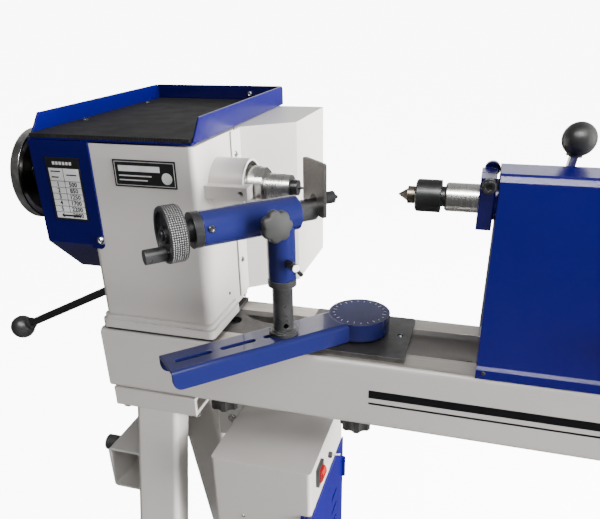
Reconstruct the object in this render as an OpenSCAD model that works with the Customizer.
// Wood lathe with a ball-turning attachment on its bed.
// Working directions: X runs along the bed towards the tailstock, Y points to the
// rear, Z points up. Machine heights are given above the ground top of the bed.

/* [Machine] */
// height of the bed top above the floor
bed_height = 868; // [800:1:950]
// spindle height over the bed
centre_height = 203; // [180:1:230]
// length of the bed
bed_length = 1380; // [1200:10:1800]
// overall width of the bed
bed_width = 150; // [140:1:170]
// depth of the bed rails
bed_depth = 99; // [85:1:110]
// width of the slot between the rails
slot_width = 76; // [60:1:90]

/* [Headstock] */
// width of the headstock column
column_width = 162; // [140:1:180]
// top of the column over the bed
column_top = 262; // [240:1:290]
// sheet thickness of the covers
sheet = 2.5; // [2:0.5:4]
// radius of the threaded spindle nose
nose_radius = 16.5; // [12.5:0.5:20]
// diameter of the outboard handwheel
handwheel_diameter = 126; // [100:1:150]

/* [Ball attachment] */
// radius of the pivot disc
disc_radius = 42; // [35:1:50]
// reach of the channel arm
arm_reach = 276; // [220:1:320]
// width of the channel arm
arm_width = 52; // [40:1:60]
// distance of the post from the pivot
post_distance = 117; // [90:1:150]
// height of the feed tube axis over the bed
tube_height = 192; // [180:1:205]

/* [Tailstock] */
// length of the tailstock body
tail_length = 250; // [200:1:320]
// top of the tailstock over the bed
tail_top = 240; // [225:1:260]
// radius of the quill
quill_radius = 17; // [14:0.5:20]

/* [Hidden] */
$fn = 64;
bed_left = -367;
bed_right = bed_left + bed_length;
bed_half = bed_width / 2;
slot_half = slot_width / 2;
col_left = -357;
col_right = col_left + column_width;
col_front = -67;
col_back = 77;
box_back = 288;
box_floor = 20;
guard_left = -427;
guard_floor = 68;
wheel_x = -473;
motor_y = 185;
motor_z = 140;
leg_lean = 12.8;
leg_centre = 52.5;
socket_x = -358;
socket_z = -253;
cab_left = -193;
cab_right = -41;
cab_front = -111;
cab_back = 91;
cab_top = -171;
cab_height = 340;
rocker_y = -68;
rocker_z = cab_top - 30;
toggle_y = -4;
toggle_z = cab_top - 46;
tail_left = 161;
tail_right = tail_left + tail_length;
pinion_x = 232;
lever_y = 61;
grip_angle = -80;
grip_offset = 20;
clamp_x = -330;
clamp_z = 65;
clamp_y = -45;
pinion_z = centre_height - quill_radius - 24.3;
frame_shift_x = -231.835;
frame_shift_y = -19.6415;

// ---- shared helpers ----

module place() {
    translate([frame_shift_x, frame_shift_y, bed_height]) children();
}

module xcyl(x0, x1, r, y = 0, z = 0) {
    translate([x0, y, z]) rotate([0, 90, 0]) cylinder(h = x1 - x0, r = r);
}

module xcone(x0, x1, r0, r1, y = 0, z = 0) {
    translate([x0, y, z]) rotate([0, 90, 0]) cylinder(h = x1 - x0, r1 = r0, r2 = r1);
}

module ycyl(y0, y1, r, x = 0, z = 0) {
    translate([x, y0, z]) rotate([-90, 0, 0]) cylinder(h = y1 - y0, r = r);
}

module zcyl(z0, z1, r, x = 0, y = 0) {
    translate([x, y, z0]) cylinder(h = z1 - z0, r = r);
}

module block(x0, x1, y0, y1, z0, z1) {
    translate([x0, y0, z0]) cube([x1 - x0, y1 - y0, z1 - z0]);
}

// rectangle with round corners, drawn flat
module round_rect(x0, x1, y0, y1, r) {
    translate([x0 + r, y0]) square([x1 - x0 - 2 * r, y1 - y0]);
    translate([x0, y0 + r]) square([x1 - x0, y1 - y0 - 2 * r]);
    for (x = [x0 + r, x1 - r])
        for (y = [y0 + r, y1 - r])
            translate([x, y]) circle(r);
}

// flat shape in Y and Z, drawn out along X
module along_x(x0, x1) {
    translate([x0, 0, 0]) rotate([90, 0, 90]) linear_extrude(x1 - x0) children();
}

// flat shape in X and Z, drawn out along Y
module along_y(y0, y1) {
    translate([0, y1, 0]) rotate([90, 0, 0]) linear_extrude(y1 - y0) children();
}

module round_block(x0, x1, y0, y1, z0, z1, r) {
    translate([0, 0, z0]) linear_extrude(z1 - z0) round_rect(x0, x1, y0, y1, r);
}

// ---- bed ----

module rail_profile(r = 8) {
    difference() {
        translate([-bed_half, -bed_depth]) square([bed_half - slot_half, bed_depth]);
        translate([-bed_half + 8, -bed_depth + 8]) square([60, bed_depth - 17]);
        translate([-bed_half + 25, -bed_depth - 1]) square([60, 12]);
        translate([-bed_half - 1, -r]) square([r + 1, r + 1]);
        translate([-bed_half - 1, -bed_depth - 1]) square([r + 1, r + 1]);
    }
    intersection() {
        translate([-bed_half + r, -r]) circle(r);
        translate([-bed_half, -r]) square([r, r]);
    }
    intersection() {
        translate([-bed_half + r, -bed_depth + r]) circle(r);
        translate([-bed_half, -bed_depth]) square([r, r]);
    }
}

module bed_rails() {
    color([0.72, 0.71, 0.69]) place() {
        along_x(bed_left, bed_right) rail_profile();
        along_x(bed_left, bed_right) mirror([1, 0]) rail_profile();
    }
}

module bed_webs() {
    color([0.55, 0.54, 0.53]) place() {
        for (x = [bed_left + 2, bed_right - 10])
            block(x, x + 8, -bed_half + 8, bed_half - 8, -bed_depth + 8, -9);
        for (x = [-130, 150, 430, 710])
            block(x, x + 8, -bed_half + 8, bed_half - 8, -bed_depth + 8, -58);
        difference() {
            block(bed_left + 2, -96, -slot_half, slot_half, -9, -0.5);
            zcyl(-10, 1, 69, -131, 73);
            block(-131, -90, 4, slot_half + 1, -10, 1);
            round_block(-332, -176, -12, 12, -10, 1, 11.9);
        }
    }
}

// ---- stand ----

stand_centres = [-294, bed_right - 73];

module stand_heads() {
    color([0.74, 0.73, 0.71]) place()
        for (x = stand_centres)
            for (s = [-1, 1])
                translate([x, 0, -bed_depth - 31]) {
                    along_x(-67, 67) difference() {
                        translate([s > 0 ? 27 : -75, 0]) square([48, 31]);
                        translate([s > 0 ? 33 : -69, 6]) square([36, 19]);
                    }
                }
}

// the leg tube is cut level under the bed and over its foot
module cut_leg(s) {
    intersection() {
        translate([0, s * leg_centre, -bed_depth - 31]) rotate([180 + s * leg_lean, 0, 0])
            translate([0, 0, -20]) linear_extrude(bed_height - bed_depth + 30) difference() {
                round_rect(-35, 35, -22, 22, 8);
                round_rect(-31, 31, -18, 18, 4);
            }
        block(-100, 100, -500, 500, -bed_height + 24, -bed_depth - 31);
    }
}

module stand_front_legs() {
    color([0.76, 0.75, 0.73]) place()
        for (x = stand_centres)
            translate([x, 0, 0]) cut_leg(-1);
}

module stand_rear_legs() {
    color([0.76, 0.75, 0.73]) place()
        for (x = stand_centres)
            translate([x, 0, 0]) cut_leg(1);
}

foot_reach = leg_centre + (bed_height - bed_depth - 31 - 24) * tan(leg_lean);

module stand_feet() {
    color([0.3, 0.3, 0.3]) place()
        for (x = stand_centres)
            for (s = [-1, 1])
                translate([x, s * foot_reach, -bed_height]) {
                    round_block(-38, 38, -36, 36, 16, 24, 8);
                    zcyl(0, 10, 26);
                    zcyl(10, 16, 8);
                }
}

module hex_bolt(z0, z1) {
    translate([0, 0, z0]) cylinder(h = z1 - z0, r = 8.6, $fn = 6);
}

module stand_bolts() {
    color([0.7, 0.7, 0.72]) place()
        for (x = stand_centres)
            for (dx = [-57, 57])
                for (s = [-1, 1])
                    translate([x + dx, s * 58, -bed_depth - 31]) hex_bolt(-10, 0);
}

module tool_socket() {
    color([0.8, 0.79, 0.77]) place() difference() {
        along_y(-84, 56) translate([socket_x, socket_z]) round_rect(-29, 29, -39, 39, 6);
        along_y(-85, 57) translate([socket_x, socket_z]) round_rect(-25, 25, -35, 35, 3);
        xcyl(socket_x - 30, socket_x - 20, 4.05, -48, socket_z + 20);
    }
}

module socket_knob() {
    color([0.08, 0.08, 0.08]) place() {
        xcyl(socket_x - 33, socket_x - 12, 4, -48, socket_z + 20);
        xcyl(socket_x - 52, socket_x - 33, 13, -48, socket_z + 20);
    }
}

// ---- control cabinet ----

module cabinet_shell() {
    color([0.78, 0.77, 0.76]) place() difference() {
        round_block(cab_left, cab_right, cab_front, cab_back, cab_top - cab_height, cab_top, 6);
        block(cab_left + 3, cab_right - 2.5, cab_front + 3, cab_back - 3,
            cab_top - cab_height + 3, cab_top - 3);
        block(cab_right - 10, cab_right + 1, cab_front + 14, cab_back - 10,
            cab_top - cab_height + 14, cab_top - 98);
        block(cab_right - 10, cab_right + 1, rocker_y - 12, rocker_y + 12, rocker_z - 14, rocker_z + 14);
        xcyl(cab_right - 10, cab_right + 1, 5, toggle_y, toggle_z);
    }
}

module cabinet_door() {
    color([0.1, 0.2, 0.6]) place() {
        difference() {
            union() {
                block(cab_right + 0.5, cab_right + 3, cab_front - 3, cab_back - 4,
                    cab_top - cab_height + 4, cab_top - 78);
                block(cab_right - 15, cab_right + 0.6, cab_front - 3, cab_front - 0.5,
                    cab_top - cab_height + 4, cab_top - 78);
            }
            for (z = [-152, -182, -212])
                along_x(cab_right - 5, cab_right + 5) translate([0, cab_top + z])
                    round_rect(5, 40, -4, 4, 3.9);
        }
        zcyl(cab_top - cab_height + 30, cab_top - cab_height + 70, 3.5, cab_right + 4.6, cab_back - 6);
        zcyl(cab_top - 160, cab_top - 120, 3.5, cab_right + 4.6, cab_back - 6);
    }
}

module cabinet_lugs() {
    color([0.85, 0.85, 0.84]) place() {
        for (x = [-170, -88])
            difference() {
                union() {
                    block(x, x + 24, 38, 44, cab_top, -bed_depth);
                    block(x, x + 24, 43, 71, -bed_depth - 5, -bed_depth);
                }
                ycyl(37, 45, 4.5, x + 12, cab_top + 40);
            }
        difference() {
            along_y(38, 44)
                polygon([[-245, -245], [cab_left, -245], [cab_left, -bed_depth], [-212, -bed_depth],
                    [-212, -150], [-245, -190]]);
            ycyl(37, 45, 4.5, -220, -209);
        }
    }
}

module switch_frame() {
    color([0.06, 0.06, 0.06]) place() {
        difference() {
            union() {
                block(cab_right, cab_right + 5, rocker_y - 14, rocker_y + 14, rocker_z - 16, rocker_z + 16);
                block(cab_right - 12, cab_right, rocker_y - 12, rocker_y + 12, rocker_z - 14, rocker_z + 14);
            }
            block(cab_right - 9, cab_right + 6, rocker_y - 10, rocker_y + 10, rocker_z - 12.5, rocker_z + 12.5);
        }
        difference() {
            xcyl(cab_right - 10, cab_right + 5, 5, toggle_y, toggle_z);
            xcyl(cab_right - 8, cab_right + 6, 3.6, toggle_y, toggle_z);
        }
    }
}

module rocker() {
    color([0.75, 0.08, 0.05]) place() translate([cab_right - 3, rocker_y, rocker_z])
        rotate([0, 10, 0]) {
            intersection() {
                block(-3, 14, -9.4, 9.4, -10.7, 10.7);
                ycyl(-10, 10, 15, -1.5, 0);
            }
            ycyl(-9.9, 9.9, 1.5);
        }
}

module toggle() {
    color([0.8, 0.8, 0.8]) place() translate([cab_right - 4, toggle_y, toggle_z])
        rotate([0, 82, 0]) {
            sphere(3.1);
            ycyl(-3.3, 3.3, 1.1);
            cylinder(h = 22, r = 1.7);
            translate([0, 0, 22]) sphere(2.4);
        }
}

// ---- headstock ----

module saddle_plate() {
    color([0.2, 0.2, 0.2]) place() difference() {
        block(col_left + 1, col_right + 4, -bed_half + 4, bed_half - 4, 0, 5);
        zcyl(-1, 6, 8.3, -310, 0);
        zcyl(-1, 6, 8.3, -212, 0);
    }
}

module column_shape(r = 8) {
    round_rect(col_left, col_right, col_front, col_back, r);
}

module headstock_body() {
    color([0.82, 0.81, 0.79]) place() difference() {
        union() {
            translate([0, 0, 23]) linear_extrude(column_top - 23) column_shape();
            round_block(col_left - 4, col_right + 8, -bed_half, 27, 5, 17, 8);
            round_block(col_left - 2, col_right + 4, -bed_half + 3.5, 27, 17, 23, 8);
            block(col_left, col_right, 27, col_back, 10, 23);
            xcyl(col_right - 1, -148, 34, 0, centre_height);
            block(col_right - 1, -137, -47, -28, centre_height - 8.5, centre_height + 8.5);
        }
        difference() {
            block(col_left + 9, col_right - 9, col_front + 9, col_back - 6, 32, column_top - 9);
            xcyl(col_left, col_left + 40, 45, 0, centre_height);
            for (y = [-36, 20])
                block(col_left + 8, clamp_x + 14, y, y + 16, clamp_z - 20, clamp_z + 20);
        }
        block(col_left + 18, col_right - 18, col_front + 15, 15, 4, 40);
        xcyl(-184, -147, 31, 0, centre_height);
        xcyl(col_left - 1, col_left + 41, 22.5, 0, centre_height);
        xcyl(col_right - 40, -170, 24, 0, centre_height);
        xcyl(col_left - 1, -330, 31, 0, centre_height);
        ycyl(-48, -20, 3.3, -146, centre_height);
        block(col_left - 5, col_left + 10, clamp_y - 7, clamp_y + 7, 30, 78);
        ycyl(-37, 37, 9.05, clamp_x, clamp_z);
    }
}

module motor_box() {
    color([0.8, 0.79, 0.77]) place() difference() {
        block(col_left, col_right, col_back, box_back, box_floor, column_top);
        block(col_left + 3, col_right + 1, col_back + 3, box_back - 3, box_floor + 3, column_top - 3);
        xcyl(col_left - 1, col_left + 4, 45, motor_y, motor_z);
    }
}

module hood_shape(inset = 0) {
    polygon([[col_right, 80 + inset * 1.3], [-126 - inset, 135 + inset * 0.5],
        [-126 - inset, box_back - inset], [col_right, box_back - inset]]);
}

module motor_hood() {
    color([0.86, 0.85, 0.83]) place() {
        difference() {
            translate([0, 0, 17]) linear_extrude(column_top - 17) hood_shape();
            translate([0, 0, 19]) linear_extrude(column_top - 21) translate([-1, 0]) hood_shape(2);
            for (x = [-182, -170, -158, -146])
                block(x, x + 5, box_back - 5, box_back + 1, 60, 130);
        }
        block(col_right, col_right + 2, 48, 80.5, 17, column_top - 1);
    }
}

tray_left = guard_left - 1;
tray_right = col_right - 1;

module tray() {
    color([0.06, 0.12, 0.5]) place() {
        block(tray_left, tray_right, -68.5, 290, 264.5, 267);
        for (x = [tray_left, tray_right - 2.5])
            translate([x, 0, 0]) along_x(0, 2.5) difference() {
                polygon([[-62, 267], [-40, 293], [286, 293], [290, 289], [290, 267]]);
            }
        block(tray_left + 2.5, tray_right - 2.5, 287.5, 290, 267, 293);
    }
}

module tray_mat() {
    color([0.12, 0.12, 0.11]) place()
        block(tray_left + 3.5, tray_right - 3.5, -67.5, 284, 267, 271.5);
}

module guard_profile(i = 0) {
    polygon([[-69.5 + i, 264 - i], [-69.5 + i, 127 + i * 0.4], [-8 + i * 0.4, guard_floor + i],
        [box_back - i, guard_floor + i], [box_back - i, 264 - i]]);
}

module guard_flange() {
    translate([col_left - 0.3, 128]) square([18.3, 136]);
    translate([col_left - 0.3, 122]) square([12.3, 6.1]);
    translate([col_left + 12, 128]) circle(6);
}

module belt_guard() {
    color([0.03, 0.08, 0.42]) place() {
        difference() {
            along_x(guard_left, col_left - 0.3) guard_profile();
            along_x(guard_left + sheet, col_left + 1) guard_profile(sheet);
            xcyl(guard_left - 1, guard_left + 5, 32, 0, centre_height);
        }
        along_y(-69.5, col_front) guard_flange();
    }
}

module label_plates() {
    color([0.05, 0.05, 0.05]) place() {
        block(-308, -221, col_front - 1, col_front, 210, 244);
        block(-406, -356, -70.3, -69.5, 160, 243);
    }
}

module bearings() {
    color([0.75, 0.75, 0.77]) place() {
        difference() {
            xcyl(-183, -150, 31, 0, centre_height);
            xcyl(-184, -149, 20.05, 0, centre_height);
        }
        difference() {
            xcyl(-349, -331, 31, 0, centre_height);
            xcyl(-350, -330, 20.05, 0, centre_height);
        }
    }
}

module motor() {
    color([0.25, 0.27, 0.3]) place() difference() {
        union() {
            xcyl(-300, -150, 62, motor_y, motor_z);
            xcyl(-354, -300, 50, motor_y, motor_z);
            block(-270, -190, motor_y - 40, motor_y + 40, box_floor + 3, motor_z - 40);
        }
        xcyl(-355, -200, 9.55, motor_y, motor_z);
    }
}

belt_distance = norm([motor_y, centre_height - motor_z]);
belt_angle = atan2(motor_z - centre_height, motor_y);

// outline of a belt over two round pulleys, as short straight steps
module belt_shape(r1, r2, n = 22) {
    a = acos((r1 - r2) / belt_distance);
    polygon(concat(
        [for (i = [0:n]) r1 * [cos(a + i * (360 - 2 * a) / n), sin(a + i * (360 - 2 * a) / n)]],
        [for (i = [0:n]) [belt_distance, 0] + r2 * [cos(-a + i * 2 * a / n), sin(-a + i * 2 * a / n)]]));
}

module drive_belt() {
    color([0.07, 0.07, 0.07]) place()
        along_x(-402, -390) translate([0, centre_height]) rotate(belt_angle) difference() {
            belt_shape(49, 39);
            belt_shape(45.4, 35.4);
        }
}

module spindle() {
    color([0.78, 0.78, 0.79]) place() difference() {
        union() {
            xcyl(wheel_x - 2, -331, 18, 0, centre_height);
            xcyl(-350, -146, 20, 0, centre_height);
            xcyl(-146, -137, 25, 0, centre_height);
            xcyl(-137, -93, 15, 0, centre_height);
            for (i = [0:6])
                xcyl(-126 + i * 3.5, -124.2 + i * 3.5, nose_radius, 0, centre_height);
            xcyl(-102, -93, 16.1, 0, centre_height);
        }
        xcyl(wheel_x - 3, -130, 5, 0, centre_height);
        xcyl(-131, -92, 8.5, 0, centre_height);
    }
}

module lock_nut() {
    color([0.66, 0.66, 0.66]) place() difference() {
        intersection() {
            translate([-137, 0, centre_height]) rotate([0, 90, 0]) cylinder(h = 10, r = 26, $fn = 6);
            xcyl(-137, -127, 24, 0, centre_height);
        }
        xcyl(-138, -126, 15, 0, centre_height);
    }
}

module handwheel() {
    wheel_radius = handwheel_diameter / 2;
    color([0.8, 0.8, 0.8]) place() translate([wheel_x, 0, centre_height]) difference() {
        union() {
            xcyl(0, 13, wheel_radius);
            xcyl(0, 32, 25);
        }
        difference() {
            xcone(5, 13.1, 30, wheel_radius - 2.5);
            xcyl(0, 14, 25);
        }
        xcone(-0.1, 2.5, wheel_radius - 6, wheel_radius - 14);
        xcyl(-1, 33, 18);
    }
}

module spindle_pulley() {
    color([0.62, 0.63, 0.65]) place() translate([0, 0, centre_height]) difference() {
        union() {
            xcyl(-420, -404, 34);
            xcyl(-403.9, -388, 45);
            xcyl(-387.9, -372, 55);
            xcyl(-423.5, -366, 27);
        }
        translate([0, 0, -centre_height]) xcyl(-426, -365, 18, 0, centre_height);
    }
}

module drive_centre() {
    color([0.1, 0.1, 0.1]) place() difference() {
        union() {
            xcyl(-120, -93, 8.5, 0, centre_height);
            xcyl(-93, -84, 10, 0, centre_height);
            xcone(-84, -77, 3, 0.5, 0, centre_height);
        }
    }
}

module motor_rotor() {
    color([0.6, 0.6, 0.62]) place() {
        xcyl(-423.5, -210, 9.5, motor_y, motor_z);
        xcyl(-420, -404, 46, motor_y, motor_z);
        xcyl(-403.9, -388, 35, motor_y, motor_z);
        xcyl(-387.9, -372, 25, motor_y, motor_z);
    }
}

module clamp_shaft() {
    color([0.3, 0.3, 0.3]) place() {
        ycyl(-38.5, 46, 9, clamp_x, clamp_z);
        ycyl(-12, 12, 13, clamp_x, clamp_z);
        difference() {
            ycyl(-52, -38, 15, clamp_x, clamp_z);
            translate([clamp_x, clamp_y, clamp_z]) rotate([0, -116, 0]) zcyl(7, 16, 5.8);
        }
    }
}

module clamp_arm() {
    place() translate([clamp_x, clamp_y, clamp_z]) rotate([0, -116, 0]) children();
}

module clamp_lever() {
    color([0.08, 0.08, 0.08]) clamp_arm() zcyl(7, 212, 5.8);
}

module clamp_knob() {
    color([0.07, 0.07, 0.07]) clamp_arm() difference() {
        union() {
            translate([0, 0, 224]) sphere(18);
            zcyl(202, 214, 9);
        }
        zcyl(201, 212, 5.8);
    }
}

module hand_nut(z) {
    zcyl(z, z + 26, 14);
    translate([0, 0, z]) linear_extrude(18) difference() {
        circle(24);
        for (i = [0:6])
            rotate(i * 360 / 7) translate([30, 0]) circle(10);
    }
}

module head_clamp() {
    color([0.2, 0.2, 0.2]) place() {
        block(-330, -195, -60, 60, -25, -9.2);
        zcyl(-9.2, 4, 8, -310, 0);
        zcyl(-9.2, 4, 8, -212, 0);
        zcyl(-128, -25, 11, -212, 0);
        translate([-212, 0, 0]) hand_nut(-153);
    }
}

// ---- ball-turning attachment ----

// directions of the arm: first axis runs out along the arm, second to its near side
module jig() {
    place() rotate([0, 0, 225]) children();
}

module jig_plate() {
    color([0.14, 0.14, 0.14]) place() {
        difference() {
            round_block(-72, 72, -64, 56, 0, 7, 3);
            zcyl(-1, 8, 4.5, 58, 0);
            zcyl(-1, 8, 4.5, -58, 0);
            zcyl(-1, 8, 8, 0, 0);
        }
        zcyl(7, 10.7, 24);
        zcyl(10.7, 29, 10);
    }
}

module jig_clamp() {
    color([0.22, 0.22, 0.22]) place() {
        block(-45, 45, -55, 55, -25, -9.2);
        zcyl(-9.2, 6.5, 8);
        zcyl(-151, -25, 8);
        zcyl(-126, -25, 13);
    }
}

module jig_nut() {
    color([0.07, 0.07, 0.07]) place() difference() {
        hand_nut(-153);
        zcyl(-154, -126, 8.05);
    }
}

module jig_disc() {
    color([0.1, 0.18, 0.62]) jig() difference() {
        zcyl(11, 36, disc_radius);
        zcyl(10, 30, 10.05);
    }
}

module channel(half, top, low, t) {
    difference() {
        union() {
            translate([-half + 6, low]) square([2 * half - 12, top - low]);
            translate([-half, low]) square([2 * half, top - low - 6]);
            for (s = [-1, 1])
                translate([s * (half - 6), top - 6]) circle(6);
        }
        translate([-half + t, low - 1]) square([2 * half - 2 * t, top - low - t + 1]);
    }
}

module jig_arm() {
    color([0.1, 0.2, 0.66]) jig() difference() {
        along_x(26, arm_reach) channel(arm_width / 2, 36, 10, 4);
        zcyl(5, 40, disc_radius + 0.01);
        for (x = [99, 158, 217])
            round_block(x, x + 48, -3, 5, 20, 40, 3.9);
        translate([arm_reach - 12, 0, 0]) along_y(-60, 60) difference() {
            translate([0, -10]) square([30, 32]);
            translate([0, 22]) circle(12);
        }
    }
}

module jig_post() {
    color([0.13, 0.13, 0.13]) jig() translate([post_distance, 0, 0]) difference() {
        union() {
            zcyl(36, 41, 19);
            zcyl(41, 43, 16);
            zcyl(36, 172, 13);
            zcyl(103, 111.5, 18);
        }
        rotate([0, 0, 78]) xcyl(0, 20, 3.6, 0, 50);
    }
}

module jig_sleeve() {
    color([0.08, 0.16, 0.58]) jig() difference() {
        union() {
            translate([post_distance, 0, 0]) zcyl(112, tube_height, 17.5);
            xcyl(97, 218, 20.5, 0, tube_height);
            translate([140, 0, tube_height]) rotate([-90, 0, 0]) cylinder(h = 25, r = 9);
        }
        translate([post_distance, 0, 0]) zcyl(111, 174, 13.05);
        xcyl(96, 219, 13.05, 0, tube_height);
        ycyl(12, 26, 5.1, 140, tube_height);
        ycyl(12, 26, 4.1, post_distance, 137);
    }
}

module tee_handle() {
    color([0.15, 0.15, 0.15]) jig() translate([post_distance, 0, 137]) {
        ycyl(13.6, 20, 4);
        ycyl(20, 37.5, 5);
        translate([0, 33, 0]) rotate([0, 129, 0]) xcyl(-6.5, 16, 2.6);
    }
}

module star_knob() {
    color([0.1, 0.1, 0.1]) jig() translate([140, 0, tube_height]) {
        ycyl(13.6, 26, 5);
        ycyl(26, 32, 12);
        translate([0, 31, 0]) rotate([-90, 0, 0]) linear_extrude(13) star_shape();
    }
}

module star_shape() {
    difference() {
        circle(19.5);
        for (i = [0:6])
            rotate(i * 360 / 7) translate([25, 0]) circle(9);
    }
}

module feed_bar() {
    color([0.1, 0.1, 0.1]) jig() difference() {
        xcyl(71.5, 205, 13, 0, tube_height);
        xcyl(120, 206, 5.4, 0, tube_height);
        block(78, 206, -2.5, 2.5, tube_height + 9.5, tube_height + 14);
        zcyl(tube_height, tube_height + 20, 2.5, 88, 0);
    }
}

module shield() {
    color([0.42, 0.38, 0.34]) jig() difference() {
        along_x(67.5, 71.4) translate([-0.5, 218]) round_rect(-25, 25, -32, 32, 3);
        xcyl(58, 75, 8, 0, centre_height);
    }
}

module cutter() {
    color([0.12, 0.12, 0.12]) jig() {
        xcyl(44, 71.5, 7.5, 0, centre_height);
        block(38.5, 48, -2.5, 2.5, centre_height - 2, centre_height + 1.5);
    }
}

module feed_wheel() {
    color([0.2, 0.2, 0.2]) jig() {
        xcyl(150, 229, 5, 0, tube_height);
        xcyl(218.3, 228, 20.5, 0, tube_height);
        xcyl(228, 240, 13, 0, tube_height);
        difference() {
            xcyl(240, 260, 31, 0, tube_height);
            difference() {
                xcyl(256.5, 261, 26, 0, tube_height);
                xcyl(250, 262, 10, 0, tube_height);
            }
            grip_arm() xcyl(250, 262, 3.05);
        }
    }
}

// the crank grip sits off the wheel's centre
module grip_arm() {
    translate([0, 0, tube_height]) rotate([grip_angle, 0, 0]) translate([0, grip_offset, 0]) children();
}

module wheel_grip() {
    color([0.12, 0.12, 0.12]) jig() grip_arm() {
        xcyl(250.5, 261, 3);
        xcyl(260.4, 284, 8.5);
    }
}

// ---- tailstock ----

module tail_profile() {
    polygon([[-75, 0], [-75, 12], [-72, 16], [-34, tail_top - 8], [-30, tail_top - 2], [-26, tail_top],
        [26, tail_top], [30, tail_top - 2], [34, tail_top - 8], [72, 16], [75, 12], [75, 0]]);
}

module tail_inner() {
    polygon([[-62, -1], [-62, 16], [-27, tail_top - 12], [27, tail_top - 12], [62, 16], [62, -1]]);
}

module tail_body() {
    color([0.05, 0.15, 0.55]) place() difference() {
        union() {
            along_x(tail_left, tail_right) tail_profile();
            block(tail_left + 8, tail_right - 8, -slot_half + 0.5, slot_half - 0.5, -8, 1);
        }
        difference() {
            along_x(tail_left + 10, tail_right - 10) tail_inner();
            block(tail_left, tail_right, -80, 80, -2, 12);
            xcyl(tail_left, tail_right, 27, 0, centre_height);
        }
        xcyl(tail_left - 1, tail_right + 1, quill_radius + 0.05, 0, centre_height);
        block(pinion_x - 30, pinion_x + 30, -31, 31, pinion_z - 26, pinion_z + 26);
        ycyl(30, 80, 9.05, pinion_x, pinion_z);
        ycyl(-80, 80, 10.05, tail_right - 45, 48);
        zcyl(-9, 13, 8.3, tail_left + 130, 0);
    }
}

module quill_block() {
    color([0.08, 0.2, 0.62]) place() difference() {
        union() {
            round_block(tail_left - 21, tail_left - 3.2, -27, 27, centre_height - 30, centre_height + 31, 2);
            xcyl(tail_left - 4, tail_left, 24, 0, centre_height);
            ycyl(26.9, 33, 8, tail_left - 11, centre_height + 23.5);
            ycyl(26.9, 32, 8.6, tail_left - 9.2, centre_height + 29.4);
        }
        xcyl(tail_left - 22, tail_left + 1, quill_radius + 0.05, 0, centre_height);
        block(tail_left - 22, tail_left + 1, -1.25, 1.25, centre_height, centre_height + 40);
        ycyl(-28, 34, 4.1, tail_left - 11, centre_height + 23.5);
    }
}

module tail_clamp() {
    color([0.22, 0.22, 0.22]) place() {
        block(tail_left + 80, tail_left + 180, -55, 55, -25, -9.2);
        zcyl(-9.2, 12, 8, tail_left + 130, 0);
    }
}

module quill() {
    color([0.68, 0.68, 0.68]) place() difference() {
        union() {
            xcyl(103, 340, quill_radius, 0, centre_height);
            xcone(101, 103, quill_radius - 2, quill_radius, 0, centre_height);
        }
        xcyl(100, 341, 9.1, 0, centre_height);
        block(180, 300, -10, 10, centre_height - quill_radius - 1, centre_height - quill_radius + 0.3);
    }
}

module live_body() {
    color([0.1, 0.1, 0.1]) place() difference() {
        union() {
            xcyl(96, 160, 9.1, 0, centre_height);
            xcyl(96, 100.9, 12, 0, centre_height);
            xcyl(68, 96, 19.5, 0, centre_height);
            xcone(66, 68, 17.5, 19.5, 0, centre_height);
        }
        xcyl(65, 90, 8.1, 0, centre_height);
    }
}

module live_tip() {
    color([0.16, 0.16, 0.16]) place() {
        xcyl(64, 89.5, 8.05, 0, centre_height);
        xcyl(56, 64, 10.5, 0, centre_height);
        xcone(44.5, 56, 0.8, 8, 0, centre_height);
    }
}

module quill_lever() {
    color([0.25, 0.25, 0.25]) place() translate([pinion_x, 0, pinion_z]) {
        ycyl(-20, 20, 24);
        ycyl(20, 69, 9);
        difference() {
            ycyl(52, 69, 14);
            ycyl(51, 70, 8.9);
        }
        translate([0, lever_y, 0]) rotate([0, 8, 0]) zcyl(8, 92, 5.5);
    }
}

module quill_knob() {
    color([0.08, 0.08, 0.08]) place() translate([pinion_x, lever_y, pinion_z]) rotate([0, 8, 0])
        difference() {
            union() {
                translate([0, 0, 104]) sphere(20);
                zcyl(84, 92, 9.5);
            }
            zcyl(80, 92, 5.5);
        }
}

module block_screw() {
    color([0.3, 0.3, 0.3]) place() translate([tail_left - 11, 0, centre_height + 23.5]) {
        difference() {
            ycyl(-36, -27.2, 8.5);
            translate([0, -28, 0]) rotate([90, 0, 0]) translate([0, 0, 4]) cylinder(h = 10, r = 5, $fn = 6);
        }
        ycyl(-27.2, 31, 4);
    }
}

module tail_lock() {
    color([0.2, 0.2, 0.2]) place() translate([tail_right - 45, 0, 48]) {
        ycyl(-86, 70, 10);
        ycyl(-96, -80, 15);
        translate([0, -88, 0]) rotate([0, 55, 0]) {
            zcyl(10, 120, 6);
            translate([0, 0, 130]) sphere(17);
        }
    }
}

bed_rails();
bed_webs();
stand_heads();
stand_front_legs();
stand_rear_legs();
stand_feet();
stand_bolts();
tool_socket();
socket_knob();
cabinet_shell();
cabinet_door();
cabinet_lugs();
switch_frame();
rocker();
toggle();
saddle_plate();
headstock_body();
motor_box();
motor_hood();
tray();
tray_mat();
belt_guard();
label_plates();
bearings();
motor();
drive_belt();
spindle();
lock_nut();
handwheel();
spindle_pulley();
drive_centre();
motor_rotor();
clamp_shaft();
clamp_lever();
clamp_knob();
head_clamp();
jig_plate();
jig_clamp();
jig_nut();
jig_disc();
jig_arm();
jig_post();
jig_sleeve();
tee_handle();
star_knob();
feed_bar();
shield();
cutter();
feed_wheel();
wheel_grip();
tail_body();
quill_block();
tail_clamp();
quill();
live_body();
live_tip();
quill_lever();
quill_knob();
block_screw();
tail_lock();
